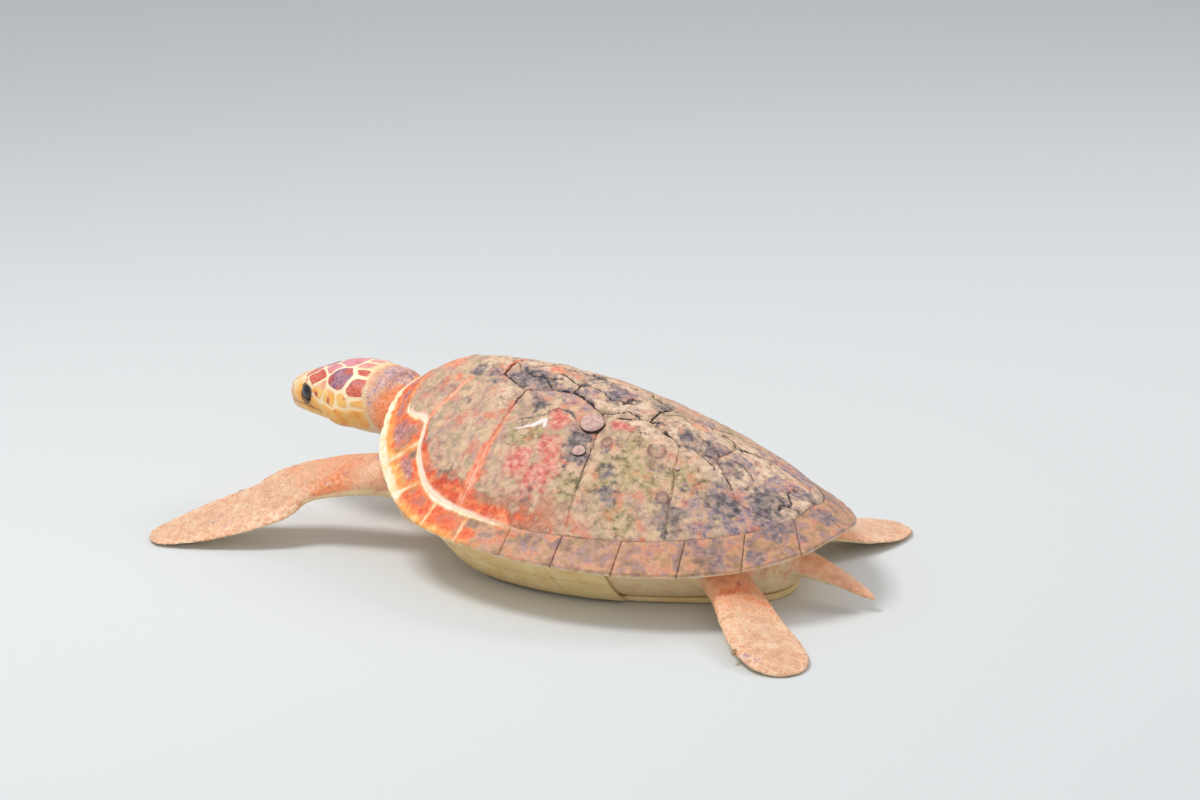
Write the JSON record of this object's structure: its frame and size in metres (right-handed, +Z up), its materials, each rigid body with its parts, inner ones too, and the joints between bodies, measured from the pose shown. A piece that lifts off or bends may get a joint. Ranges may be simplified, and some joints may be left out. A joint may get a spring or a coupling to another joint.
{
  "type": "loggerhead sea turtle",
  "caption": "Life-size loggerhead sea turtle crawling on its plastron, head raised, one front flipper reaching forward and the other swept back, for display.",
  "frame": {"origin": "on the flat underside of the plastron, below the middle of the shell, on the ground", "axes": "+Z up, -Y towards the head, +X towards the animal's left side"},
  "size_m": [0.9159, 1.3777, 0.3448],
  "materials": {
    "skin": "dry scaly skin, orange tan above and pale cream below",
    "head_skin": "smooth horny head scales, red to salmon with cream seams",
    "beak_horn": "smooth cream and amber horn",
    "eye": "wet, nearly black",
    "back_plate": "weathered keratin, mottled olive brown with worn and algae-grown patches",
    "rim_plate": "weathered keratin, orange red with purple brown middles and cream seams",
    "belly_plate": "smooth pale yellow keratin",
    "claw": "smooth brown horn"
  },
  "bodies": {
    "root": {"trunk": "skin", "plastron": "belly_plate", "bridge_left": "belly_plate", "bridge_right": "belly_plate", "vertebral_1": "back_plate", "vertebral_2": "back_plate", "vertebral_3": "back_plate", "vertebral_4": "back_plate", "vertebral_5": "back_plate", "costal_left_1": "back_plate", "costal_left_2": "back_plate", "costal_left_3": "back_plate", "costal_left_4": "back_plate", "costal_left_5": "back_plate", "costal_right_1": "back_plate", "costal_right_2": "back_plate", "costal_right_3": "back_plate", "costal_right_4": "back_plate", "costal_right_5": "back_plate", "nuchal": "rim_plate", "marginal_left_01": "rim_plate", "marginal_left_02": "rim_plate", "marginal_left_03": "rim_plate", "marginal_left_04": "rim_plate", "marginal_left_05": "rim_plate", "marginal_left_06": "rim_plate", "marginal_left_07": "rim_plate", "marginal_left_08": "rim_plate", "marginal_left_09": "rim_plate", "marginal_left_10": "rim_plate", "marginal_left_11": "rim_plate", "marginal_left_12": "rim_plate", "marginal_right_01": "rim_plate", "marginal_right_02": "rim_plate", "marginal_right_03": "rim_plate", "marginal_right_04": "rim_plate", "marginal_right_05": "rim_plate", "marginal_right_06": "rim_plate", "marginal_right_07": "rim_plate", "marginal_right_08": "rim_plate", "marginal_right_09": "rim_plate", "marginal_right_10": "rim_plate", "marginal_right_11": "rim_plate", "marginal_right_12": "rim_plate", "neck": "skin", "head": "head_skin", "beak": "beak_horn", "jaw": "head_skin", "eye_left": "eye", "eye_right": "eye", "flipper_front_left": "skin", "claw_front_left": "claw", "flipper_front_right": "skin", "claw_front_right": "claw", "flipper_hind_left": "skin", "claw_hind_left": "claw", "flipper_hind_right": "skin", "claw_hind_right": "claw", "tail": "skin"}
  },
  "joints": []
}
